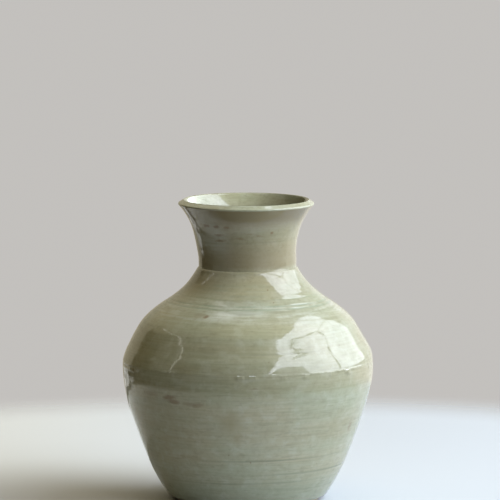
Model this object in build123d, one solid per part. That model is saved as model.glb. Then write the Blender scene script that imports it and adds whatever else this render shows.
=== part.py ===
from build123d import *
from math import atan2, cos, degrees, radians, sin, sqrt, tan
from typing import NamedTuple
import os

# A wheel-thrown stoneware vase with a full belly, a drawn-in neck and a flared mouth.
# It is thrown in three sections, luted with slip at the belly and at the neck, then glazed inside and out.
# Millimetres, +Z up, origin at the middle of the foot. Radii and heights are of the glazed surface.

# Foot and heel: a bare turned ring that stands inside the rounded lower edge of the body
FOOT_RADIUS = 44.5
FOOT_WIDTH = 6.0
FOOT_BEVEL = 0.8
FOOT_RECESS = 3.0
HEEL_CLEARANCE = 1.8
HEEL_OVERHANG = 1.6
HEEL_ROUND = 2.4

# Radii of the wall, from the belly up to the lip
BELLY_RADIUS = 75.8
FLANK_INSET = 5.7
HAUNCH_INSET = 9.1
WAIST_RADIUS = 29.6
ROOT_OUTSET = 1.5
SHOULDER_OUTSET = 20.1
LIP_RADIUS = 40.9

# Heights from each ring of the wall to the next
FLANK_RISE = 48.5
BELLY_RISE = 29.7
HAUNCH_RISE = 22.6
SHOULDER_RISE = 16.2
ROOT_RISE = 18.0
WAIST_RISE = 5.5
LIP_RISE = 34.7

# Lean of the wall at those rings, in degrees outwards from upright, and of the land on top of the lip.
# At the root of the neck, where it sits on the shoulder, the outside turns sharply.
HEEL_LEAN = 34.0
FLANK_LEAN = 18.7
HAUNCH_LEAN = -29.2
SHOULDER_LEAN = -57.2
ROOT_LEAN = -28.0
LIP_LEAN = 42.5
LAND_LEAN = -59.0
UPRIGHT = 0.0

# Thicknesses: each thrown section has its own wall, and the glaze is part of it
BODY_WALL = 6.2
SHOULDER_WALL = 5.2
NECK_WALL = 4.6
LIP_WALL = 5.0
LIP_ROUND = 0.3
FLOOR_THICKNESS = 7.0
FLOOR_RADIUS = 32.0
GLAZE = 0.6

# Luted seams: a tongue under the upper section sits in a groove of the lower one, bedded in slip.
# One seam lies just over the widest ring and the other just under the narrowest.
BELLY_SEAM_RISE = 2.2
NECK_SEAM_DROP = 2.8
TONGUE_WIDTH = 2.2
TONGUE_DEPTH = 1.6
SLIP = 0.8


class Ring(NamedTuple):
    """A ring of the wall, as a point of its section, and the lean of the outline there."""
    point: Vector
    lean: float


def at(radius, height):
    """A point of the section, which lies in the XZ plane."""
    return Vector(radius, 0, height)


def along(lean):
    """The direction in which the outline runs."""
    return at(sin(radians(lean)), cos(radians(lean)))


def into(lean):
    """The direction square to the outline, into the clay."""
    return at(-cos(radians(lean)), sin(radians(lean)))


def inside(ring, wall):
    """The ring on the other face of a wall, where the outline runs back down."""
    return Ring(ring.point + into(ring.lean) * wall, ring.lean - 180)


def meeting(start, end):
    """The ring between two rings where the two equal-reach tangent arcs that join them meet."""
    chord = end.point - start.point
    leaving = along(start.lean)
    arriving = along(end.lean)
    pull = chord.dot(leaving + arriving)
    spread = 2 * (1 - leaving.dot(arriving)) * chord.dot(chord)
    reach = chord.dot(chord) / (pull + sqrt(pull**2 + spread))
    point = (start.point + end.point + (leaving - arriving) * reach) * 0.5
    half = point - start.point
    turn = atan2(half.X * leaving.Z - half.Z * leaving.X, half.dot(leaving))
    return Ring(point, start.lean + 2 * degrees(turn))


def smooth(rings):
    """The rings with the meeting of their tangent arcs put between each pair."""
    joined = rings[:1]
    for start, end in zip(rings, rings[1:]):
        joined += [meeting(start, end), end]
    return joined


def inset(rings, depth):
    """The parallel outline, this deep in the clay."""
    return [Ring(ring.point + into(ring.lean) * depth, ring.lean) for ring in rings]


def edge(start, end):
    """The line or tangent arc from one ring of the outline to the next."""
    turn = radians(end.lean - start.lean)
    if abs(turn) < 1e-9:
        return Line(start.point, end.point)
    chord = end.point - start.point
    bulge = at(-chord.Z, chord.X) * (tan(turn / 4) / 2)
    return ThreePointArc(start.point, (start.point + end.point) * 0.5 + bulge, end.point)


def edges(rings):
    """The lines and arcs of an outline."""
    return [edge(start, end) for start, end in zip(rings, rings[1:])]


def coat(rings):
    """Section of the glaze that lies on the clay along an outline."""
    clay = inset(rings, GLAZE)
    ends = [Line(rings[0].point, clay[0].point), Line(rings[-1].point, clay[-1].point)]
    return Face(Wire(edges(rings) + edges(clay) + ends))


# Outer surface, from under the heel to the lip
heel_centre = at(FOOT_RADIUS + HEEL_OVERHANG, HEEL_CLEARANCE + HEEL_ROUND + GLAZE)
heel_under = Ring(heel_centre - into(90) * (HEEL_ROUND + GLAZE), 90)
heel = Ring(heel_centre - into(HEEL_LEAN) * (HEEL_ROUND + GLAZE), HEEL_LEAN)
flank_height = heel.point.Z + FLANK_RISE
belly_height = flank_height + BELLY_RISE
haunch_height = belly_height + HAUNCH_RISE
shoulder_height = haunch_height + SHOULDER_RISE
root_height = shoulder_height + ROOT_RISE
waist_height = root_height + WAIST_RISE
lip_height = waist_height + LIP_RISE

flank = Ring(at(BELLY_RADIUS - FLANK_INSET, flank_height), FLANK_LEAN)
belly = Ring(at(BELLY_RADIUS, belly_height), UPRIGHT)
haunch = Ring(at(BELLY_RADIUS - HAUNCH_INSET, haunch_height), HAUNCH_LEAN)
shoulder = Ring(at(WAIST_RADIUS + SHOULDER_OUTSET, shoulder_height), SHOULDER_LEAN)
root = Ring(at(WAIST_RADIUS + ROOT_OUTSET, root_height), ROOT_LEAN)
waist = Ring(at(WAIST_RADIUS, waist_height), UPRIGHT)
lip = Ring(at(LIP_RADIUS, lip_height), LIP_LEAN)

# Lip: the flared wall is cut off a little flatter than square, and its two edges are rounded
lip_radius = LIP_ROUND + GLAZE
lip_drop = (LIP_WALL - 2 * lip_radius) * tan(radians(LIP_LEAN - LAND_LEAN - 90))
lip_across = inside(lip, LIP_WALL)
lip_inside = Ring(lip_across.point - along(LIP_LEAN) * lip_drop, lip_across.lean)
land_start = Ring(lip.point + (into(LIP_LEAN) - into(LAND_LEAN)) * lip_radius, LAND_LEAN)
land_end = Ring(lip_inside.point - (into(LIP_LEAN) + into(LAND_LEAN)) * lip_radius, LAND_LEAN)

# Inner surface, from the lip down to the middle of the floor
floor_height = FOOT_RECESS + FLOOR_THICKNESS
floor_edge = Ring(at(FLOOR_RADIUS, floor_height), -90)
floor_middle = Ring(at(0, floor_height), -90)

outside_rings = [heel_under] + smooth([heel, flank, belly, haunch, shoulder, root, waist, lip])
outside_rings += [land_start, land_end]
inside_rings = [land_end] + smooth([
    lip_inside,
    inside(waist, NECK_WALL),
    inside(shoulder, SHOULDER_WALL),
    inside(haunch, SHOULDER_WALL),
    inside(belly, BODY_WALL),
    inside(flank, BODY_WALL),
    floor_edge,
])
inside_rings += [floor_middle]

# Section of the whole clay body under its glaze, closed round the turned foot
clay_rings = inset(outside_rings + inside_rings[1:], GLAZE)
foot_inner = FOOT_RADIUS - FOOT_WIDTH
underside = Polyline(
    clay_rings[-1].point,
    at(0, FOOT_RECESS),
    at(foot_inner - FOOT_BEVEL, FOOT_RECESS),
    at(foot_inner, FOOT_RECESS - FOOT_BEVEL),
    at(foot_inner, FOOT_BEVEL),
    at(foot_inner + FOOT_BEVEL, 0),
    at(FOOT_RADIUS - FOOT_BEVEL, 0),
    at(FOOT_RADIUS, FOOT_BEVEL),
    at(FOOT_RADIUS, HEEL_CLEARANCE + GLAZE),
    clay_rings[0].point,
)
clay = Face(Wire(edges(clay_rings) + underside.edges()))

# Lines across the section that part the thrown sections and their beds of slip
beyond = 2 * (BELLY_RADIUS + FOOT_RADIUS + LIP_RADIUS)


def level(height):
    """A flat line from the axis to outside the vase."""
    return [at(0, height), at(beyond, height)]


def bed(ring, wall, raised):
    """The line of a seam this far over a ring, with its groove in the middle of the wall."""
    middle = ring.point.X - wall / 2
    height = ring.point.Z + raised
    return [
        at(0, height),
        at(middle - TONGUE_WIDTH / 2, height),
        at(middle, height - TONGUE_DEPTH),
        at(middle + TONGUE_WIDTH / 2, height),
        at(beyond, height),
    ]


def between(low, high):
    """The part of the clay between two of those lines."""
    strip = Face(Wire.make_polygon(low + high[::-1]))
    return (clay & strip).faces()


seams = [
    level(-beyond),
    bed(belly, BODY_WALL, BELLY_SEAM_RISE - SLIP / 2),
    bed(belly, BODY_WALL, BELLY_SEAM_RISE + SLIP / 2),
    bed(waist, NECK_WALL, -NECK_SEAM_DROP - SLIP / 2),
    bed(waist, NECK_WALL, -NECK_SEAM_DROP + SLIP / 2),
    level(lip_height + beyond),
]
clay_names = ["lower_body", "belly_slip", "shoulder", "neck_slip", "neck"]
sections = {name: between(low, high) for name, low, high in zip(clay_names, seams, seams[1:])}
sections["outer_glaze"] = coat(outside_rings)
sections["inner_glaze"] = coat(inside_rings)

os.makedirs("parts", exist_ok=True)
for name, section in sections.items():
    export_step(revolve(section, Axis.Z), f"parts/{name}.step")
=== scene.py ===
import math
import random
from collections import namedtuple

import bmesh
import bpy
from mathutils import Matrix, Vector, noise


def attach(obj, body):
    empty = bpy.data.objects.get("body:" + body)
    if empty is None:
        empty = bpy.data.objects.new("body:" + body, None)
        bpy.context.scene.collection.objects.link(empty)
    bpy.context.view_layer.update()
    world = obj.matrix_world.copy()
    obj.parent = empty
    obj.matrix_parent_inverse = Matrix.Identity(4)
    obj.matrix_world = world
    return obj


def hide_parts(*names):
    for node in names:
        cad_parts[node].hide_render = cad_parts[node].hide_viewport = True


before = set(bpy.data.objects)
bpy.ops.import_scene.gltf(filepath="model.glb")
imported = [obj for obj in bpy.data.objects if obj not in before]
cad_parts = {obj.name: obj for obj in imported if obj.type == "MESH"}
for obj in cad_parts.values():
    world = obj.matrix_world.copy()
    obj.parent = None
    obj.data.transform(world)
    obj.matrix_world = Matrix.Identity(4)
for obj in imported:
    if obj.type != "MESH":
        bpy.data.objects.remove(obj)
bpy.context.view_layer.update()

# The bowl of the body is thrown in buff stoneware and turned underneath when leather-hard.
# The turning leaves a bare foot ring, with fine tool rings in its recess; the rest hides under glaze.
# Its wall ends at the belly in the groove that takes the shoulder. All sizes here are in millimetres.
MM = 0.001
GLAZE = 0.6
BODY_WALL = 6.2
SHOULDER_WALL = 5.2
FOOT_RADIUS = 44.5
FOOT_WIDTH = 6.0
FOOT_BEVEL = 0.8
FOOT_RECESS = 3.0
FLOOR = 10.0
BELLY_SEAM = 83.52
SLIP = 0.8
TONGUE_WIDTH = 2.2
TONGUE_DEPTH = 1.6
TOOL_RINGS = 0.05
TOOL_RINGS_PACE = 2.6
CHATTER = 0.1
CHATTER_PACE = 0.45
TURNING_STEP = 0.7
UNSEEN_STEP = 3.0
AROUND = 256
STRAIGHT = 1e-6
WELD = 1e-4
SHARP_ANGLE = 50
BUFF = (0.50, 0.40, 0.28, 1)
TOASTED = (0.42, 0.30, 0.19, 1)
IRON = (0.16, 0.09, 0.05, 1)
# The thrown wall wanders off its axis, as a hand leaves it: height, then how far to the right
WOBBLE = [
    (-1, -0.36), (44, -0.36), (56, -0.52), (63, -0.3), (72, 0.0), (84.5, 0.0),
    (88, 0.3), (93, 0.36), (99, -0.05), (105, -0.05), (112, 0.14), (126, 0.24),
    (136, -0.16), (146, -0.25), (152, -0.82), (157, -1.03), (190, -1.03),
]
# A ring of the wall: its radius, its height, and the lean of the outline there in degrees from upright
Ring = namedtuple("Ring", "radius height lean")
heel_under = Ring(46.1, 1.8, 90.0)
heel = Ring(48.59, 3.12, 34.0)
flank = Ring(70.1, 51.62, 18.7)
belly = Ring(75.8, 81.32, 0.0)
haunch = Ring(66.7, 103.92, -29.2)
floor_edge = Ring(32.0, FLOOR, -90.0)


def along(lean):
    """The direction in which an outline with this lean runs, as radius and height."""
    return Vector((math.sin(math.radians(lean)), math.cos(math.radians(lean))))


def moved(ring, into=0.0, on=0.0, turn=0.0):
    """The ring moved square into the wall and on along the outline, which then turns by this much."""
    ahead = along(ring.lean)
    radius = ring.radius - into * ahead.y + on * ahead.x
    height = ring.height + into * ahead.x + on * ahead.y
    return Ring(radius, height, ring.lean + turn)


def meeting(start, end):
    """The ring where the two tangent arcs that join two rings meet."""
    chord = Vector((end.radius - start.radius, end.height - start.height))
    leaving = along(start.lean)
    arriving = along(end.lean)
    pull = chord.dot(leaving + arriving)
    spread = 2 * (1 - leaving.dot(arriving)) * chord.length_squared
    reach = chord.length_squared / (pull + math.sqrt(pull**2 + spread))
    half = (chord + (leaving - arriving) * reach) / 2
    turn = math.atan2(half.x * leaving.y - half.y * leaving.x, half.dot(leaving))
    return Ring(start.radius + half.x, start.height + half.y, start.lean + 2 * math.degrees(turn))


def smooth(rings):
    """The rings with the meetings of their tangent arcs put between them."""
    joined = rings[:1]
    for start, end in zip(rings, rings[1:]):
        joined += [meeting(start, end), end]
    return joined


def trimmed(rings, low, high):
    """The part of a curved outline between two heights."""
    kept = [ring for ring in rings[:1] if low < ring.height < high]
    for start, end in zip(rings, rings[1:]):
        chord = math.hypot(end.radius - start.radius, end.height - start.height)
        radius = chord / (2 * math.sin(math.radians(end.lean - start.lean) / 2))
        middle = Vector(start[:2]) + radius * Vector((along(start.lean).y, -along(start.lean).x))
        for height in (low, high):
            if (start.height - height) * (end.height - height) < 0:
                lean = math.degrees(math.asin((height - middle.y) / radius))
                if abs(start.lean) > 90:
                    lean = -180 - lean
                kept.append(Ring(middle.x - radius * math.cos(math.radians(lean)), height, lean))
        if low < end.height < high:
            kept.append(end)
    return kept


def under_glaze(rings, low, high):
    """The outline of the clay under its glaze, between two heights."""
    return trimmed([moved(ring, into=GLAZE) for ring in rings], low, high)


def vee(middle, height):
    """The corners of a tongue, or of its groove, from the outside in."""
    half = TONGUE_WIDTH / 2
    return [(middle + half, height), (middle, height - TONGUE_DEPTH), (middle - half, height)]


def outline(start):
    """A new shape with the first vertex of its outline, in the plane of X and Z."""
    shape = bmesh.new()
    shape.verts.new((start[0], 0, start[1]))
    return shape


def draw(shape, rings, step):
    """Runs an outline on through tangent arcs and straights, with a vertex about every step."""
    for start, end in zip(rings, rings[1:]):
        shape.verts.ensure_lookup_table()
        tip = shape.verts[-1]
        chord = Vector((end.radius - start.radius, 0, end.height - start.height))
        turn = math.radians(end.lean - start.lean)
        if abs(turn) < STRAIGHT:
            steps = max(1, round(chord.length / step))
            bmesh.ops.spin(shape, geom=[tip], axis=(0, 1, 0), dvec=chord / steps, angle=0, steps=steps)
            continue
        radius = chord.length / (2 * math.sin(turn / 2))
        ahead = along(start.lean)
        centre = tip.co + radius * Vector((ahead.y, 0, -ahead.x))
        steps = max(1, round(abs(radius * turn) / step))
        bmesh.ops.spin(shape, geom=[tip], cent=centre, axis=(0, 1, 0), angle=turn, steps=steps)


def run(shape, corners, step):
    """Runs an outline on through straights from corner to corner."""
    for radius, height in corners:
        shape.verts.ensure_lookup_table()
        x, _, z = shape.verts[-1].co
        draw(shape, [Ring(x, z, 0.0), Ring(radius, height, 0.0)], step)


def turned(shape, around):
    """Turns an outline into a whole piece about the upright axis."""
    shape.verts.ensure_lookup_table()
    if shape.verts[0].co.x > 0:
        shape.edges.new((shape.verts[-1], shape.verts[0]))
    section = shape.verts[:] + shape.edges[:]
    bmesh.ops.spin(shape, geom=section, axis=(0, 0, 1), angle=math.tau, steps=around, use_merge=True)
    bmesh.ops.remove_doubles(shape, verts=shape.verts, dist=WELD)
    bmesh.ops.recalc_face_normals(shape, faces=shape.faces)


def wobbled(shape):
    """Moves the thrown clay off its axis by the little that it wanders."""
    for vert in shape.verts:
        for (low, start), (high, end) in zip(WOBBLE, WOBBLE[1:]):
            if low <= vert.co.z < high:
                vert.co.x += start + (end - start) * (vert.co.z - low) / (high - low)
                break


def piece(shape, name, material, node):
    """The finished piece, in metres, in place of the solid that it stands for."""
    bmesh.ops.scale(shape, vec=(MM, MM, MM), verts=shape.verts)
    mesh = bpy.data.meshes.new(name)
    shape.to_mesh(mesh)
    shape.free()
    mesh.shade_smooth()
    mesh.set_sharp_from_angle(angle=math.radians(SHARP_ANGLE))
    mesh.materials.append(material)
    made = bpy.data.objects.new(name, mesh)
    bpy.context.scene.collection.objects.link(made)
    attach(made, "root")
    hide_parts(node)


class Value:
    """A value in a shader, which operators join to others through Math nodes."""

    def __init__(self, tree, socket):
        self.tree = tree
        self.socket = socket

    def node(self, kind, settings, inputs, output=0):
        """Adds a node with its settings and the values or links of its sockets, and gives one output."""
        made = self.tree.nodes.new(kind)
        for name, setting in settings.items():
            setattr(made, name, setting)
        for name, given in inputs.items():
            if isinstance(given, Value):
                self.tree.links.new(given.socket, made.inputs[name])
            else:
                made.inputs[name].default_value = given
        return Value(self.tree, made.outputs[output])

    def math(self, operation, first, second):
        """Adds a Math node on two values or numbers."""
        return self.node("ShaderNodeMath", {"operation": operation}, {0: first, 1: second})

    def __add__(self, other):
        return self.math("ADD", self, other)

    __radd__ = __add__

    def __sub__(self, other):
        return self.math("SUBTRACT", self, other)

    def __rsub__(self, other):
        return self.math("SUBTRACT", other, self)

    def __mul__(self, other):
        return self.math("MULTIPLY", self, other)

    __rmul__ = __mul__

    def between(self, low, high):
        """0 below low, 1 above high, and a smooth rise from one to the other."""
        inputs = {"Value": self, "From Min": low, "From Max": high}
        return self.node("ShaderNodeMapRange", {"interpolation_type": "SMOOTHSTEP"}, inputs)

    def mix(self, first, second):
        """The second colour over the first, by this value."""
        return self.node("ShaderNodeMix", {"data_type": "RGBA"}, {0: self, 6: first, 7: second}, 2)


def surface(name):
    """A new material, the point of the object that it colours, and its shader."""
    material = bpy.data.materials.new(name)
    material.use_nodes = True
    tree = material.node_tree
    place = tree.nodes.new("ShaderNodeTexCoord")
    return material, Value(tree, place.outputs["Object"]), tree.nodes["Principled BSDF"]


def feed(shader, name, value):
    """Links a value to one of the shader's sockets."""
    value.tree.links.new(value.socket, shader.inputs[name])


def noisy(point, scale, detail):
    """Soft noise on a point, from 0 to 1."""
    return point.node("ShaderNodeTexNoise", {}, {"Vector": point, "Scale": scale, "Detail": detail})


def ringed(point, sideways, upwards):
    """The point moved onto a slim post, so that noise on it runs round the piece in streaks."""
    vector = "ShaderNodeVectorMath"
    level = point.node(vector, {"operation": "MULTIPLY"}, {0: point, 1: (1, 1, 0)})
    post = point.node(vector, {"operation": "NORMALIZE"}, {0: level})
    post = point.node(vector, {"operation": "MULTIPLY"}, {0: post, 1: (sideways, sideways, 0)})
    return point.node(vector, {"operation": "MULTIPLY_ADD"}, {0: point, 1: (0, 0, upwards), 2: post})


def raised(shader, value, strength, distance):
    """Raises the surface a little by a value."""
    inputs = {"Height": value, "Strength": strength, "Distance": distance}
    feed(shader, "Normal", value.node("ShaderNodeBump", {}, inputs, "Normal"))


def fired_clay(name, buff, toasted, grain):
    """Bare fired clay: mottled, with iron specks and a dry grain."""
    material, point, shader = surface(name)
    mottle = noisy(point, 60.0, 4.0).between(0.35, 0.7)
    specks = noisy(point, 1400.0, 2.0).between(0.68, 0.74)
    colour = mottle.mix(buff, toasted)
    feed(shader, "Base Color", (0.6 * specks).mix(colour, IRON))
    feed(shader, "Roughness", 0.72 + 0.16 * mottle)
    raised(shader, noisy(point, 2600.0, 3.0), grain, 0.0002)
    return material


buff_stoneware = fired_clay("buff_stoneware", BUFF, TOASTED, grain=0.4)
foot_inner = FOOT_RADIUS - FOOT_WIDTH
recess_edge = foot_inner - FOOT_BEVEL
foot_corners = [
    (foot_inner, FOOT_RECESS - FOOT_BEVEL),
    (foot_inner, FOOT_BEVEL),
    (foot_inner + FOOT_BEVEL, 0),
    (FOOT_RADIUS - FOOT_BEVEL, 0),
    (FOOT_RADIUS, FOOT_BEVEL),
    (FOOT_RADIUS, heel_under.height + GLAZE),
    (heel_under.radius, heel_under.height + GLAZE),
]
seam_bottom = BELLY_SEAM - SLIP / 2
groove = belly.radius - BODY_WALL / 2
wall_outside = [heel_under] + smooth([heel, flank, belly, haunch])
belly_inside = moved(belly, into=BODY_WALL, turn=-180)
flank_inside = moved(flank, into=BODY_WALL, turn=-180)
haunch_inside = moved(haunch, into=SHOULDER_WALL, turn=-180)
wall_inside = smooth([haunch_inside, belly_inside, flank_inside, floor_edge])
clay_outside = under_glaze(wall_outside, 0, seam_bottom)
clay_inside = under_glaze(wall_inside, 0, seam_bottom)

bowl = outline((0, FOOT_RECESS))
run(bowl, [(recess_edge, FOOT_RECESS)], TURNING_STEP)
for vert in bowl.verts[:-1]:
    tool_ring = TOOL_RINGS * math.sin(TOOL_RINGS_PACE * vert.co.x)
    vert.co.z += tool_ring + CHATTER * noise.noise((0.4, 0.0, CHATTER_PACE * vert.co.x))
run(bowl, foot_corners, TURNING_STEP)
draw(bowl, clay_outside, UNSEEN_STEP)
run(bowl, vee(groove, seam_bottom) + [clay_inside[0][:2]], UNSEEN_STEP)
draw(bowl, clay_inside, UNSEEN_STEP)
run(bowl, [(0, FLOOR - GLAZE)], UNSEEN_STEP)
turned(bowl, AROUND)
wobbled(bowl)
piece(bowl, "turned_bowl", buff_stoneware, "lower_body")

# The shoulder is thrown apart, in the same stoneware, and luted onto the bowl by the tongue under it.
# Glaze hides it inside and out.
NECK_WALL = 4.6
NECK_SEAM = 140.82
shoulder = Ring(49.7, 120.12, -57.2)
root = Ring(31.1, 138.12, -28.0)
waist = Ring(29.6, 143.62, 0.0)
shoulder_inside = moved(shoulder, into=SHOULDER_WALL, turn=-180)
waist_inside = moved(waist, into=NECK_WALL, turn=-180)
seam_top = BELLY_SEAM + SLIP / 2
neck_seam_bottom = NECK_SEAM - SLIP / 2
neck_groove = waist.radius - NECK_WALL / 2
wall_outside = smooth([belly, haunch, shoulder, root, waist])
wall_inside = smooth([waist_inside, shoulder_inside, haunch_inside, belly_inside])
clay_outside = under_glaze(wall_outside, seam_top, neck_seam_bottom)
clay_inside = under_glaze(wall_inside, seam_top, neck_seam_bottom)
seat_outside = clay_outside[-1]
seat_inside = clay_inside[0]
dome = outline(clay_outside[0])
draw(dome, clay_outside, UNSEEN_STEP)
run(dome, vee(neck_groove, neck_seam_bottom) + [seat_inside[:2]], UNSEEN_STEP)
draw(dome, clay_inside, UNSEEN_STEP)
run(dome, vee(groove, seam_top)[::-1], UNSEEN_STEP)
turned(dome, AROUND)
wobbled(dome)
piece(dome, "thrown_shoulder", buff_stoneware, "shoulder")

# The neck is a thrown collar that flares to the mouth, luted onto the shoulder by the tongue under it.
# Its lip is cut off a little flatter than square, and the cut's two edges are rounded.
LIP_WALL = 5.0
LIP_ROUND = 0.9
LAND_LEAN = -59.0
lip = Ring(40.9, 178.32, 42.5)
lip_drop = (LIP_WALL - 2 * LIP_ROUND) * math.tan(math.radians(lip.lean - LAND_LEAN - 90))
lip_inside = moved(lip, into=LIP_WALL, on=-lip_drop, turn=-180)
to_land = LAND_LEAN - lip.lean
land_start = moved(moved(lip, into=LIP_ROUND, turn=to_land), into=-LIP_ROUND)
land_end = moved(moved(lip_inside, into=LIP_ROUND, turn=to_land + 180), into=-LIP_ROUND)
neck_seam_top = NECK_SEAM + SLIP / 2
over_lip = lip.height + LIP_WALL
wall_outside = smooth([root, waist, lip])
wall_inside = smooth([lip_inside, waist_inside, shoulder_inside])
clay_outside = under_glaze(wall_outside, neck_seam_top, over_lip)
clay_inside = under_glaze(wall_inside, neck_seam_top, over_lip)
clay_land = [moved(land_start, into=GLAZE), moved(land_end, into=GLAZE)]
collar = outline(clay_outside[0])
draw(collar, clay_outside + clay_land + clay_inside, UNSEEN_STEP)
run(collar, vee(neck_groove, neck_seam_top)[::-1], UNSEEN_STEP)
turned(collar, AROUND)
wobbled(collar)
piece(collar, "thrown_neck", buff_stoneware, "neck")

# Two rings of slip, which is thin wet clay that fired to stone, bed the tongues in their grooves.
# The belly's stays a plain solid under the glaze. The neck's is wiped back a little, under its crease.
WIPED_BACK = 0.4
PALE_SLIP = (0.56, 0.48, 0.36, 1)
TOASTED_SLIP = (0.50, 0.41, 0.29, 1)
luting_slip = fired_clay("luting_slip", PALE_SLIP, TOASTED_SLIP, grain=0.15)
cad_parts["belly_slip"].data.materials.clear()
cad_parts["belly_slip"].data.materials.append(luting_slip)
bed = outline((seat_outside.radius - WIPED_BACK, neck_seam_bottom))
bed_top = [(clay_outside[0].radius - WIPED_BACK, neck_seam_top)] + vee(neck_groove, neck_seam_top)
bed_inside = [(clay_inside[-1].radius, neck_seam_top), (seat_inside.radius, neck_seam_bottom)]
run(bed, bed_top + bed_inside + vee(neck_groove, neck_seam_bottom)[::-1], UNSEEN_STEP)
turned(bed, AROUND)
wobbled(bed)
piece(bed, "neck_bed", luting_slip, "neck_slip")

# The outer glaze is a glossy grey-green celadon, poured over the vase and wiped off the foot.
# Throwing rings show through it: it pools green in the grooves, and breaks brown where it runs thin.
OUTSIDE_STEP = 0.85
SHOULDER_STEP = 0.45
SHARP_STEP = 0.3
COAT_SETTLED = 0.06
GLOSS_IOR = 1.6
FINGER_DEPTH = 0.018
SWAY_DEPTH = 0.05
# Lines that the rib drew in the wall: height in front, first and last bearing, depth and half width.
# A bearing is in degrees round from the front, and to the right is more.
RISE_PER_TURN = 5.0
RIB_FADE = 0.42
NO_RIB_LINE = (9.0, 0.0, 1.0)
LINE_TINT = 8
RIB_LINES = [
    (10.5, 30, 150, 0.06, 0.4),
    (16.3, -40, 45, 0.10, 0.4),
    (21.7, 5, 110, 0.10, 0.4),
    (30.8, -25, 55, 0.12, 0.45),
    (27.0, 130, 250, 0.09, 0.45),
    (44.0, 170, 290, 0.07, 0.4),
    (58.0, 100, 200, 0.06, 0.4),
    (96.0, -20, 40, 0.05, 0.4),
    (158.0, -60, 80, 0.05, 0.4),
    (161.5, 120, 260, 0.05, 0.4),
]
# Rings that go all the way round: height, depth (a ridge is below 0) and half width
FULL_RINGS = [
    (111.0, 0.05, 0.5),
    (114.2, 0.02, 0.5),
    (117.0, -0.02, 0.6),
    (120.2, 0.17, 0.5),
    (121.8, 0.15, 0.5),
    (125.2, 0.08, 0.5),
    (127.6, 0.05, 0.5),
    (129.8, 0.05, 0.5),
    (132.0, 0.05, 0.5),
]
# The belly's luted seam has a faint ridge in front and is pinched in here and there: bearing and depth
SEAM_LIFT = 0.4
SEAM_WANDER = 0.3
SEAM_DEPTH = 0.03
SEAM_REACH = 4
PINCHES = [
    (-9, 0.12), (-3.6, 0.34), (2.0, 0.42), (16, 0.2), (27, 0.25),
    (41, 0.2), (52, 0.3), (75, 0.2), (-60, 0.2),
]
PINCH_LENGTH = 2.0
PINCH_HEIGHT = 0.7
RIDGE = 0.09
RIDGE_MIDDLE = 35
RIDGE_HALF = 45
RIDGE_REACH_UP = 2.2
RIDGE_REACH_DOWN = 0.5
# The neck's luted seam is a crease under a straight wall, and its lower edge is softer on the left
CREASE_DROP = 0.2
CREASE_WANDER = 0.3
CREASE_DEPTH = 0.46
CREASE_ABOVE = 3.4
CREASE_BELOW = 0.25
CREASE_SOFTER = 0.6
# Under the neck the shoulder is a little fuller: height, half height and how far it swells out
FULLNESS = (134.0, 7.0, 0.45)
# Places where the glaze broke brown: bearing, height, half length, half height and strength
MARK_REACH = 1.6
BREAKS = [
    (-39, 68.5, 4.6, 1.7, 0.8),
    (-36.5, 67.0, 3.4, 1.5, 0.8),
    (-27.2, 66.1, 3.6, 1.5, 0.45),
    (-23.6, 65.2, 3.2, 1.5, 0.5),
    (-51, 70.0, 5.5, 1.2, 0.35),
    (63.5, 47.5, 1.8, 3.4, 0.5),
    (3, 76.4, 2.8, 0.5, 0.6),
    (-26.8, 116.2, 1.5, 0.8, 1.0),
    (-32, 116.6, 3.2, 1.1, 0.35),
    (-45, 167.9, 2.2, 0.9, 0.9),
    (-31, 167.8, 2.2, 0.9, 0.9),
    (-21, 167.5, 1.8, 0.9, 0.9),
    (-31, 162.8, 2.8, 0.6, 0.7),
    (-29, 159.3, 3.2, 0.6, 0.7),
    (-8, 161.0, 5.0, 0.5, 0.45),
    (2, 163.6, 4.0, 0.4, 0.3),
    (14, 162.4, 3.0, 0.4, 0.35),
    (36, 160.2, 4.0, 0.4, 0.4),
    (28, 164.2, 0.9, 0.7, 0.9),
]
# Patches where it only turned olive, in the same order; the two at the left of the neck's root are partly
# painted shade
OLIVES_AND_SHADE = [
    (-8, 54.5, 6.0, 6.5, 0.9),
    (-5, 46.0, 4.0, 3.5, 0.6),
    (52, 47.0, 12.0, 9.0, 0.4),
    (-45, 148.0, 9.0, 5.0, 0.6),
    (-52, 66.0, 6.0, 6.0, 0.4),
    (-55, 131.0, 11.0, 5.0, 0.9),
]
# Painted highlights: pale patches that stand in for reflections and light on the neck's left and on the
# shoulder's front
PAINTED_HIGHLIGHTS = [
    (-48, 158.5, 10.0, 5.0, 1.0),
    (-40, 160.0, 10.0, 18.0, 0.6),
    (-3, 118.5, 12.0, 1.1, 0.7),
]
# More breaks and olive patches round the back, as chance sets them
BACK_BREAKS = 16
BACK_OLIVES = 6
BACK_STRENGTH = 0.6
hand = random.Random(11)
for _ in range(BACK_BREAKS):
    place = (hand.uniform(85, 275), hand.uniform(20, 165))
    size = (hand.uniform(2, 5), hand.uniform(0.6, 2))
    BREAKS.append((*place, *size, BACK_STRENGTH))
for _ in range(BACK_OLIVES):
    place = (hand.uniform(95, 265), hand.uniform(20, 110))
    size = (hand.uniform(5, 12), hand.uniform(4, 8))
    OLIVES_AND_SHADE.append((*place, *size, BACK_STRENGTH))


def swell(distance, reach):
    """1 in the middle, falling away to nothing at some way past the reach."""
    return math.exp(-((distance / reach) ** 2))


def turn_between(bearing, other):
    """The degrees from one bearing to another, the short way round."""
    return (bearing - other + 180) % 360 - 180


def facing(bearing):
    """How far a bearing faces the right and the front, each from -1 to 1."""
    return math.sin(math.radians(bearing)), math.cos(math.radians(bearing))


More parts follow.
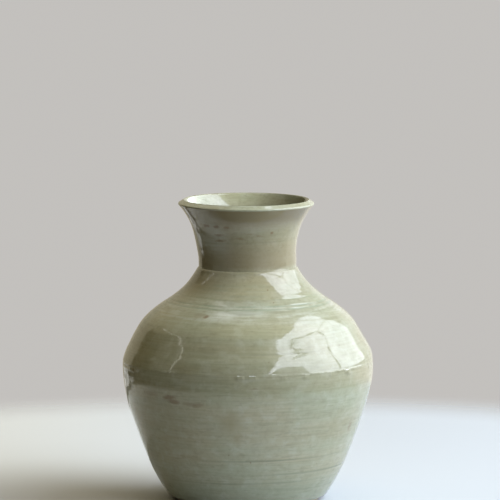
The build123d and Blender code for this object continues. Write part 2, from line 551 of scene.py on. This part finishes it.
def rib_line(bearing, height):
    """The height over the nearest of the rib's lines, and how deep and wide that line is there."""
    nearest = NO_RIB_LINE
    for front, first, last, cut, width in RIB_LINES:
        middle = (first + last) / 2
        off = turn_between(bearing, middle)
        over = height - front - RISE_PER_TURN * (off + middle) / 360
        if abs(over) < abs(nearest[0]):
            nearest = (over, cut * swell(off, RIB_FADE * (last - first)), width)
    return nearest


def throwing(bearing, height):
    """How deep the fingers and the rib pressed into the wall there, in millimetres."""
    x, y = facing(bearing)
    depth = FINGER_DEPTH * noise.noise((1.1 * x, 1.1 * y, 0.5 * height))
    depth += SWAY_DEPTH * noise.noise((0.5 * x + 7, 0.5 * y, 0.13 * height))
    for ring, cut, width in FULL_RINGS:
        if abs(height - ring) < 3 * width:
            uneven = 0.8 + 0.9 * noise.noise((5 * x + ring, 5 * y, ring))
            depth += cut * uneven * swell(height - ring, width)
    over, cut, width = rib_line(bearing, height)
    return depth + cut * swell(over, width)


def luting(bearing, height):
    """How far the luted seams draw the wall in there, less how far it is fuller, in millimetres."""
    x, y = facing(bearing)
    crease = NECK_SEAM - CREASE_DROP + CREASE_WANDER * noise.noise((2 * x, 2 * y, 5))
    if height > crease:
        depth = CREASE_DEPTH * max(0.0, 1 - (height - crease) / CREASE_ABOVE) ** 2
    else:
        level, tall, out = FULLNESS
        reach = CREASE_BELOW + CREASE_SOFTER * ((1 - x) / 2) ** 2
        depth = CREASE_DEPTH * math.exp((height - crease) / reach) - out * swell(height - level, tall)
    over = height - BELLY_SEAM - SEAM_LIFT - SEAM_WANDER * noise.noise((9 * x, 9 * y, 2))
    if abs(over) < SEAM_REACH:
        for centre, cut in PINCHES:
            off = math.radians(turn_between(bearing, centre)) * belly.radius
            depth += cut * swell(off, PINCH_LENGTH) * swell(over, PINCH_HEIGHT)
        reach = RIDGE_REACH_UP if over > 0 else -RIDGE_REACH_DOWN
        ridge = RIDGE * swell(turn_between(bearing, RIDGE_MIDDLE), RIDGE_HALF)
        depth += SEAM_DEPTH * swell(over, PINCH_HEIGHT) - ridge * math.exp(-over / reach)
    return depth


def mark(marks, bearing, height, radius):
    """How far inside the nearest mark a place is, from 0 at its edge to 1, and that mark's strength."""
    deepest = (0.0, 0.0)
    for centre, level, length, tall, strength in marks:
        up = (height - level) / (MARK_REACH * tall)
        if abs(up) < 1:
            off = math.radians(turn_between(bearing, centre)) * radius / (MARK_REACH * length)
            deepest = max(deepest, (1 - math.hypot(off, up), strength))
    return deepest


def clay_side(rings, turn):
    """The outline on the side of a coat that lies on the clay, run back the other way."""
    turned_back = [Ring(ring.radius, ring.height, ring.lean + turn) for ring in reversed(rings)]
    return [moved(ring, into=-GLAZE) for ring in turned_back]


def show_face(shape, shown):
    """Marks the first vertices of a coat's outline, which lie on the face that shows."""
    face = shape.verts.layers.float.new("face")
    shape.verts.ensure_lookup_table()
    for vert in shape.verts[:shown]:
        vert[face] = 1.0
    return face


# The outline's steps are finer where the wall turns sharply: the height at which each step begins
stretches = [
    (0, OUTSIDE_STEP),
    (BELLY_SEAM - 3, SHARP_STEP),
    (BELLY_SEAM + 3, OUTSIDE_STEP),
    (shoulder.height - 2.2, SHOULDER_STEP),
    (shoulder.height + 9, OUTSIDE_STEP),
    (NECK_SEAM - 3, SHARP_STEP),
    (NECK_SEAM + 2.5, OUTSIDE_STEP),
    (lip.height + 1, None),
]
coat_rings = [heel_under] + smooth([heel, flank, belly, haunch, shoulder, root, waist, lip])
land = [lip, land_start, land_end]
coat = outline(heel_under)
for (low, step), (high, _) in zip(stretches, stretches[1:]):
    draw(coat, trimmed(coat_rings, low, high), step)
draw(coat, land, SHARP_STEP)
shown = len(coat.verts)
run(coat, [moved(land_end, into=GLAZE)[:2]], UNSEEN_STEP)
draw(coat, clay_side(coat_rings + land[1:], -180), UNSEEN_STEP)
face = show_face(coat, shown)
turned(coat, AROUND)
names = ("throwing", "over_line", "line", "breaking", "break_strength", "olive", "pale", "pinched")
layers = [coat.verts.layers.float.new(name) for name in names]
depth, over_line, line, breaking, break_strength, olive, painted_highlight, pinched = layers
coat.normal_update()
inwards = {}
for vert in coat.verts:
    if vert[face] > 0.5:
        bearing = math.degrees(math.atan2(vert.co.x, -vert.co.y))
        height = vert.co.z
        radius = math.hypot(vert.co.x, vert.co.y)
        vert[depth] = throwing(bearing, height)
        vert[over_line], cut, _ = rib_line(bearing, height)
        vert[line] = LINE_TINT * cut
        vert[breaking], vert[break_strength] = mark(BREAKS, bearing, height, radius)
        inside, strength = mark(OLIVES_AND_SHADE, bearing, height, radius)
        vert[olive] = inside * strength
        inside, strength = mark(PAINTED_HIGHLIGHTS, bearing, height, radius)
        vert[painted_highlight] = inside * strength
        vert[pinched] = max(cut * swell(turn_between(bearing, at), PINCH_LENGTH) for at, cut in PINCHES)
        inwards[vert] = vert.normal * -(vert[depth] + luting(bearing, height) + COAT_SETTLED)
for vert, move in inwards.items():
    vert.co += move
wobbled(coat)


def axis(point, name):
    """One coordinate of a point."""
    return point.node("ShaderNodeSeparateXYZ", {}, {"Vector": point}, name)


def celadon(name, outer_coat):
    """Glossy celadon with fine streaks, green pools and brown breaks; on the outer coat the neck darkens,
    partly as thin glaze and partly as painted shade, and on the liner shade is painted inside the mouth.
    """
    material, point, shader = surface(name)
    height = axis(point, "Z")

    def own(attribute):
        """A value that the coat's vertices carry."""
        return point.node("ShaderNodeAttribute", {"attribute_name": attribute}, {}, "Fac")

    def belt(low, full, falling, high):
        """1 between two heights, with soft edges."""
        return height.between(low, full) * (1 - height.between(falling, high))

    green = (0.30, 0.32, 0.225, 1)
    khaki = (0.33, 0.314, 0.212, 1)
    tan = (0.272, 0.251, 0.162, 1)
    pale = (0.475, 0.487, 0.42, 1)
    dark = (0.20, 0.187, 0.12, 1)
    thin_glaze_and_shade = (0.225, 0.185, 0.112, 1)
    painted_lip_shade = (0.13, 0.11, 0.06, 1)
    painted_mouth_shade = (0.09, 0.09, 0.055, 1)
    glint_white = (0.75, 0.77, 0.72, 1)
    pool = (0.17, 0.235, 0.165, 1)
    line_green = (0.15, 0.155, 0.095, 1)
    olive_green = (0.235, 0.205, 0.105, 1)
    brown = (0.175, 0.108, 0.055, 1)

    fine = noisy(ringed(point, 2.8, 850.0), 1.0, 4.0)
    sweeps = noisy(ringed(point, 2.2, 300.0), 1.0, 3.0)
    bands = noisy(ringed(point, 0.7, 110.0), 1.0, 2.0)
    dashes = noisy(ringed(point, 9.0, 700.0), 1.0, 0.0)
    crumbs = noisy(ringed(point, 22.0, 220.0), 1.0, 1.0)
    ragged = 1.1 * (noisy(ringed(point, 10.0, 420.0), 1.0, 3.0) - 0.5)
    clouds = noisy(point, 24.0, 4.0)
    mottle = noisy(point, 150.0, 3.0)
    grain = noisy(point, 420.0, 3.0)
    specks = noisy(point, 300.0, 0.0).between(0.85, 0.88)
    streaks = 0.6 * fine + 0.4 * sweeps
    on_haunch = belt(0.070, 0.078, 0.100, 0.110)
    on_shoulder = belt(0.109, 0.117, 0.120, 0.127)
    on_neck = height.between(0.125, 0.140)
    on_seam = belt(0.0830, 0.0838, 0.0844, 0.0852)
    painted_lip_shade_mask = belt(0.167, 0.174, 0.1780, 0.1788)

    # The ground: green and khaki, streaked round the vase, mottled and grained
    colour = (0.5 * clouds.between(0.4, 0.65) + 0.5 * bands.between(0.35, 0.65)).mix(green, khaki)
    colour = (0.4 * on_haunch).mix(colour, tan)
    streaked = (0.12 + 0.33 * on_shoulder) * streaks.between(0.46, 0.60)
    colour = (0.12 * on_shoulder + streaked).mix(colour, pale)
    colour = ((0.2 + 0.1 * on_shoulder) * (1 - streaks.between(0.37, 0.47))).mix(colour, dark)
    paled = 0.18 * (1 - mottle.between(0.32, 0.5)) + 0.05 * (1 - height.between(0.03, 0.06))
    colour = paled.mix(colour, pale)
    colour = (0.13 * mottle.between(0.52, 0.7)).mix(colour, dark)
    grained = (0.18 + 0.14 * on_neck) * grain.between(0.45, 0.7)
    colour = (0.22 * dashes.between(0.66, 0.76) + grained).mix(colour, dark)

    # The neck and the mouth: darker above the neck's root and under the lip, partly as thinner glaze and
    # partly as painted shade, and painted shade inside the mouth on the right
    thin_and_shade = 0.3 * height.between(0.122, 0.134) + 0.45 * height.between(0.1405, 0.144)
    thin_and_shade = thin_and_shade - 0.3 * height.between(0.149, 0.162)
    thin_and_shade = (thin_and_shade + 0.5 * height.between(0.164, 0.175)) * (1 - height.between(0.1780, 0.1788))
    colour = (outer_coat * thin_and_shade).mix(colour, thin_glaze_and_shade)
    # Painted shade just under the lip's edge
    colour = (0.36 * outer_coat * painted_lip_shade_mask).mix(colour, painted_lip_shade)
    colour = (0.08 * outer_coat * height.between(0.1784, 0.1792)).mix(colour, pale)
    # Painted highlights from the pale patches
    colour = (0.75 * own("pale").between(0.0, 0.6) * (0.7 + 0.6 * (fine - 0.2))).mix(colour, pale)
    # Painted shade on the liner, inside the mouth on the right
    painted_shade = (1 - outer_coat) * axis(point, "X").between(-0.005, 0.032) * height.between(0.160, 0.172)
    colour = (0.6 * painted_shade).mix(colour, painted_mouth_shade)

    # Painted glints as white dashes in the seam's pinches, green pools, the rib's lines, and the olive and
    # brown places
    painted_glint = belt(0.0836, 0.0839, 0.0841, 0.0844) * own("pinched").between(0.18, 0.3)
    colour = (painted_glint * crumbs.between(0.3, 0.6)).mix(colour, glint_white)
    colour = (0.35 * own("throwing").between(0.03, 0.12)).mix(colour, pool)
    over_line = own("over_line")
    on_line = 1 - (over_line * over_line).between(0.03, 0.5)
    drawn = own("line") * on_line * (0.4 + 0.6 * sweeps.between(0.4, 0.5))
    colour = (0.55 * drawn).mix(colour, line_green)
    colour = (0.3 * (1 - height.between(0.002, 0.034)) * clouds.between(0.3, 0.6)).mix(colour, pool)
    # Olive patches, partly painted shade at the left of the neck's root
    tinted = own("olive") * (0.8 + 0.5 * ragged)
    colour = tinted.mix(colour, olive_green)
    broken = own("break_strength") * (own("breaking") + 1.4 * ragged).between(0.0, 0.7)
    colour = (0.8 * broken + 0.5 * specks).mix(colour, brown)
    feed(shader, "Base Color", colour)
    feed(shader, "Roughness", 0.04 + 0.05 * fine + 0.12 * broken)
    shader.inputs["IOR"].default_value = GLOSS_IOR

    seam_edge = belt(0.0800, 0.0838, 0.0839, 0.0846) * own("pinched").between(0.05, 0.3)
    relief = fine + 0.5 * noisy(point, 700.0, 2.0) + 14.0 * (on_seam * crumbs) + 40.0 * seam_edge
    raised(shader, relief, strength=0.2, distance=0.0001)
    return material


piece(coat, "celadon_coat", celadon("celadon_glaze", 1.0), "outer_glaze")

# The liner is the same celadon, swilled round inside the vase and poured out before the outside is glazed.
# Under it a spiral of finger grooves climbs the wall from the middle of the floor.
INSIDE_STEP = 1.1
AROUND_INSIDE = 192
GROOVE_PITCH = 7.5
GROOVE_DEPTH = 0.14
GROOVES_START = 8
GROOVES_END = 150.0
GROOVES_FADE = 25
wall_inside = smooth([
    lip_inside,
    waist_inside,
    shoulder_inside,
    haunch_inside,
    belly_inside,
    flank_inside,
    floor_edge,
])
liner_rings = [land_end] + wall_inside + [Ring(0.0, FLOOR, -90.0)]
liner = outline(land_end)
draw(liner, liner_rings, INSIDE_STEP)
shown = len(liner.verts)
run(liner, [(0, FLOOR - GLAZE)], UNSEEN_STEP)
draw(liner, clay_side(liner_rings, 180), UNSEEN_STEP)
face = show_face(liner, shown)
turned(liner, AROUND_INSIDE)
depths = liner.verts.layers.float.new("throwing")
liner.normal_update()
inwards = {}
for vert in liner.verts:
    if vert[face] > 0.5:
        x, y, z = vert.co
        out = math.hypot(x, y)
        climb = (z + out) / GROOVE_PITCH + math.atan2(y, x) / math.tau
        fade = min(1.0, max(0.0, (GROOVES_END - z) / GROOVES_FADE)) * min(1.0, out / GROOVES_START)
        vert[depths] = GROOVE_DEPTH * fade * math.sin(math.tau * climb)
        inwards[vert] = vert.normal * -vert[depths]
for vert, move in inwards.items():
    vert.co += move
wobbled(liner)
piece(liner, "liner_coat", celadon("liner_glaze", 0.0), "inner_glaze")

# Table: a plain pale top that fades into the pale room behind, with a painted shadow that greys it in
# front on the left
TABLE_RADIUS = 0.46
TABLE_FADE = 0.34
TABLE_CORNERS = 128
WARM_TOP = (0.66, 0.655, 0.635, 1)
COOL_TOP = (0.55, 0.585, 0.645, 1)
PAINTED_SHADOW_TOP = (0.40, 0.39, 0.385, 1)


def stage(shape, name, material):
    """A thing of the studio, which isn't part of the vase."""
    mesh = bpy.data.meshes.new(name)
    shape.to_mesh(mesh)
    shape.free()
    mesh.materials.append(material)
    made = bpy.data.objects.new(name, mesh)
    bpy.context.scene.collection.objects.link(made)
    return made


material, point, shader = surface("table_top")
to_right = axis(point, "X")
to_back = axis(point, "Y")
top = to_right.between(-0.3, 0.12).mix(WARM_TOP, COOL_TOP)
# Painted shadow in front on the left
painted_shade = (1 - to_back.between(-0.02, 0.17)) * (1 - to_right.between(-0.12, 0.03))
feed(shader, "Base Color", (0.9 * painted_shade).mix(top, PAINTED_SHADOW_TOP))
shader.inputs["Roughness"].default_value = 0.9
shader.inputs["Specular IOR Level"].default_value = 0.0
away = point.node("ShaderNodeVectorMath", {"operation": "LENGTH"}, {0: point}, "Value")
feed(shader, "Alpha", 1 - away.between(TABLE_FADE, TABLE_RADIUS))
disc = bmesh.new()
bmesh.ops.create_circle(disc, cap_ends=True, segments=TABLE_CORNERS, radius=TABLE_RADIUS)
stage(disc, "table", material)

# Cards that show only in the gloss: the bright part of a window with two dark bars, a bright pane and a
# dark flag over the mouth, a dim doorway with a bright frame, the dark floor round the table, the table's
# bright far end with its rail, and two shades that lie on the table
WINDOW_X = 0.70
WINDOW = [
    (0.68, 0.13), (0.72, 0.40), (0.70, 1.00), (0.60, 1.34), (0.40, 1.50), (0.18, 1.44),
    (-0.22, 1.25), (-0.72, 1.27), (-1.08, 1.45), (-1.00, 1.36), (-1.22, 1.26), (-1.44, 1.08),
    (-2.10, 0.55), (-1.94, 0.35), (-1.38, 0.70), (-1.02, 0.68), (-0.72, 0.53), (-0.56, 0.46),
    (-0.48, 0.16), (-0.30, 0.11), (-0.07, 0.09), (0.32, 0.10), (0.50, 0.11),
]
BARS = [
    [(-0.62, 0.92), (-0.50, 0.89), (-0.27, 0.76), (-0.06, 0.72), (0.06, 0.68), (0.25, 0.78), (0.66, 0.86)],
    [(0.04, 0.68), (0.06, 0.53), (0.01, 0.45), (-0.01, 0.34), (-0.02, 0.09)],
]
BAR_WIDTH = 0.03
IN_FRONT = 0.01
DOOR_X = -1.5
DOOR = [(-0.36, 0.02), (-0.36, 1.16), (0.25, 1.00), (0.50, 0.60), (0.10, 0.10)]
DOOR_FRAME = [(-0.39, 0.02), (-0.39, 1.20), (0.85, 1.20)]
FRAME_WIDTH = 0.04
PANE_X = 0.05
PANE = [
    (0.040, 0.295), (0.036, 0.33), (0.040, 0.36), (0.048, 0.39), (0.09, 0.39),
    (0.27, 0.31), (0.27, 0.215), (0.174, 0.218), (0.097, 0.222), (0.075, 0.235),
]
FLAG = [(0.02, 0.20), (0.02, 0.40), (0.30, 0.34), (0.30, 0.20)]
FLOOR_MIDDLE = Vector((-0.02, 0.06, 0.001))
END_MIDDLE = Vector((0, 0, 0.002))
RAIL_MIDDLE = Vector((0, 0, 0))
RAIL_HEIGHT = 0.02
SHADE_MIDDLE = Vector((0, 0, 0.0015))
SHADES = [("foot_shade", 0.05, 0.125, -95), ("edge_shade", 0.315, 0.37, -131)]
SECTOR_STEPS = 48


def glowing(name, sheet, strength):
    """Makes a sheet glow as a card that only the gloss shows, and gives its point and its shader."""
    material, point, shader = surface(name)
    shader.inputs["Base Color"].default_value = (0, 0, 0, 1)
    shader.inputs["Specular IOR Level"].default_value = 0.0
    shader.inputs["Emission Strength"].default_value = strength
    made = stage(sheet, name, material)
    made.visible_camera = False
    made.visible_diffuse = False
    made.visible_shadow = False
    return point, shader


def shine(shader, pattern, dim, bright):
    """Lets a card glow from a dim to a bright colour by a pattern."""
    feed(shader, "Emission Color", pattern.mix(dim + (1,), bright + (1,)))


def sheet_of(x, corners):
    """An upright sheet at one side, with corners given as depth and height."""
    sheet = bmesh.new()
    sheet.faces.new([sheet.verts.new((x, y, z)) for y, z in corners])
    return sheet


def strip_of(x, corners, width):
    """An upright strip of a sheet along a line of corners."""
    strip = bmesh.new()
    row = [strip.verts.new((x, y, z)) for y, z in corners]
    lines = [strip.edges.new(pair) for pair in zip(row, row[1:])]
    wide = bmesh.ops.extrude_edge_only(strip, edges=lines)["geom"]
    wide = [item for item in wide if isinstance(item, bmesh.types.BMVert)]
    bmesh.ops.translate(strip, vec=(0, width, width), verts=wide)
    return strip


def sector_of(middle, inner, outer, first, last, tall=0.0):
    """Part of a ring, from one bearing to another, which may stand up as well as lie flat."""
    sector = bmesh.new()
    out = Vector((math.sin(math.radians(first)), -math.cos(math.radians(first)), 0))
    near = sector.verts.new(middle + inner * out)
    far = sector.verts.new(middle + outer * out + Vector((0, 0, tall)))
    section = [near, far, sector.edges.new((near, far))]
    turn = math.radians(last - first)
    bmesh.ops.spin(sector, geom=section, cent=middle, axis=(0, 0, 1), angle=turn, steps=SECTOR_STEPS)
    return sector


point, shader = glowing("window", sheet_of(WINDOW_X, WINDOW), 6.1)
dapple = 0.74 + 0.26 * noisy(point, 6.0, 5.0).between(0.3, 0.7)
towards_back = axis(point, "Y").between(0.1, 0.5)
shine(shader, (1 - 0.38 * towards_back) * dapple, (0, 0, 0), (0.95, 1.0, 1.09))
for number, bar in enumerate(BARS):
    point, shader = glowing(f"bar_{number}", strip_of(WINDOW_X - IN_FRONT, bar, BAR_WIDTH), 1.0)
    shine(shader, noisy(point, 12.0, 2.0), (0.3, 0.3, 0.28), (1.2, 1.2, 1.15))

point, shader = glowing("pane", sheet_of(PANE_X, PANE), 4.4)
shine(shader, noisy(point, 40.0, 5.0).between(0.3, 0.7), (0.78, 0.82, 0.86), (1.0, 1.04, 1.1))
point, shader = glowing("flag", sheet_of(-PANE_X, FLAG), 1.0)
feed(shader, "Alpha", axis(point, "Y").between(0.03, 0.07))
shine(shader, noisy(point, 40.0, 2.0), (0.02, 0.02, 0.012), (0.06, 0.055, 0.035))

point, shader = glowing("doorway", sheet_of(DOOR_X, DOOR), 1.0)
shine(shader, noisy(point, 4.0, 3.0).between(0.3, 0.7), (0.1, 0.08, 0.04), (0.45, 0.45, 0.36))
point, shader = glowing("door_frame", strip_of(DOOR_X + IN_FRONT, DOOR_FRAME, FRAME_WIDTH), 1.0)
shine(shader, noisy(point, 6.0, 2.0).between(0.3, 0.5), (0.6, 0.6, 0.5), (2.4, 2.3, 2.0))

point, shader = glowing("dark_floor", sector_of(FLOOR_MIDDLE, 0.24, 1.6, -131, 100), 1.0)
away = point.node("ShaderNodeVectorMath", {"operation": "DISTANCE"}, {0: point, 1: FLOOR_MIDDLE}, "Value")
crisp = away.between(0.298, 0.308)
soft = (away + 0.05 * noisy(point, 14.0, 3.0)).between(0.275, 0.335)
feed(shader, "Alpha", crisp + (soft - crisp) * axis(point, "X").between(-0.22, -0.06))
shine(shader, axis(point, "X").between(0.05, 0.4), (0.05, 0.042, 0.025), (0.5, 0.5, 0.46))
point, shader = glowing("end_of_table", sector_of(END_MIDDLE, 0.37, 0.60, -158, -122), 1.0)
shine(shader, noisy(point, 22.0, 3.0).between(0.3, 0.6), (0.3, 0.28, 0.22), (1.0, 1.0, 0.95))
point, shader = glowing("table_rail", sector_of(RAIL_MIDDLE, 0.43, 0.43, -136, -116, RAIL_HEIGHT), 1.0)
shine(shader, noisy(point, 22.0, 3.0), (0.02, 0.015, 0.01), (0.06, 0.05, 0.03))
for name, inner, outer, last in SHADES:
    point, shader = glowing(name, sector_of(SHADE_MIDDLE, inner, outer, -180, last), 1.0)
    shine(shader, noisy(point, 22.0, 3.0), (0.14, 0.14, 0.11), (0.24, 0.23, 0.19))

# Lamps: the window's light from the right, weaker low down and towards the front
DAYLIGHT = (0.87, 0.985, 1.13)
LAMP_X = WINDOW_X + 0.02
LAMPS = [
    ("window_high", (LAMP_X, 0.085, 0.85), (1.37, 1.0), 18.5),
    ("window_low", (LAMP_X, 0.085, 0.175), (1.37, 0.35), 2.0),
    ("window_front", (LAMP_X, -0.95, 0.85), (0.7, 1.0), 7.8),
]
for name, middle, size, watts in LAMPS:
    lamp = bpy.data.lights.new(name, "AREA")
    lamp.shape = "RECTANGLE"
    lamp.size, lamp.size_y = size
    lamp.energy = watts
    lamp.color = DAYLIGHT
    made = bpy.data.objects.new(name, lamp)
    made.location = middle
    made.rotation_mode = "QUATERNION"
    made.rotation_quaternion = Vector((-1, 0, 0)).to_track_quat("-Z", "Y")
    made.visible_glossy = False
    bpy.context.scene.collection.objects.link(made)

# Room: a pale wall behind, a warm bright ceiling, and no light in front and to the left
BACKDROP = (0.545, 0.53, 0.51, 1)
room = bpy.data.worlds.new("room")
room.use_nodes = True
tree = room.node_tree
way = Value(tree, tree.nodes.new("ShaderNodeTexCoord").outputs["Generated"])
in_view = Value(tree, tree.nodes.new("ShaderNodeLightPath").outputs["Is Camera Ray"])
right = axis(way, "X")
back = axis(way, "Y")
up = axis(way, "Z")
walls = right.between(-0.05, 0.25).mix((0.46, 0.42, 0.31, 1), (1.02, 1.0, 0.93, 1))
bright_side = right.between(0.3, 0.6) * up.between(0.08, 0.3)
walls = bright_side.mix(walls, (1.35, 1.38, 1.38, 1))
unlit = (-0.81 * right - 0.59 * back).between(0.10, 0.17)
walls = unlit.mix(walls, (0.03, 0.022, 0.008, 1))
ceiling = back.between(-0.1, 0.35).mix((1.0, 0.85, 0.42, 1), (0.60, 0.55, 0.42, 1))
ceiling = right.between(-0.6, -0.05).mix((0.62, 0.55, 0.36, 1), ceiling)
skylight = back.between(0.10, 0.22) * (1 - back.between(0.29, 0.35))
skylight = skylight * right.between(-0.40, -0.2) * (1 - right.between(0.08, 0.2))
ceiling = skylight.mix(ceiling, (2.5, 2.5, 2.4, 1))
seen = (up + 0.33 * back).between(0.5, 0.72).mix(walls, ceiling)
feed(tree.nodes["Background"], "Color", in_view.mix(seen, BACKDROP))
bpy.context.scene.world = room

# Camera: a long lens, looking a little down
PITCH = math.radians(6.687)
DISTANCE = 3.6234
AIM_HEIGHT = 0.15054
AIM_SIDE = 0.00127
SENSOR = 36.0
LENS = 432.0
lens = bpy.data.cameras.new("camera")
lens.sensor_width = SENSOR
lens.lens = LENS
camera = bpy.data.objects.new("camera", lens)
camera.location = (AIM_SIDE, -DISTANCE * math.cos(PITCH), AIM_HEIGHT + DISTANCE * math.sin(PITCH))
camera.rotation_euler = (math.pi / 2 - PITCH, 0, 0)
bpy.context.scene.collection.objects.link(camera)
bpy.context.scene.camera = camera
bpy.context.scene.view_settings.view_transform = "Standard"

bpy.context.view_layer.update()
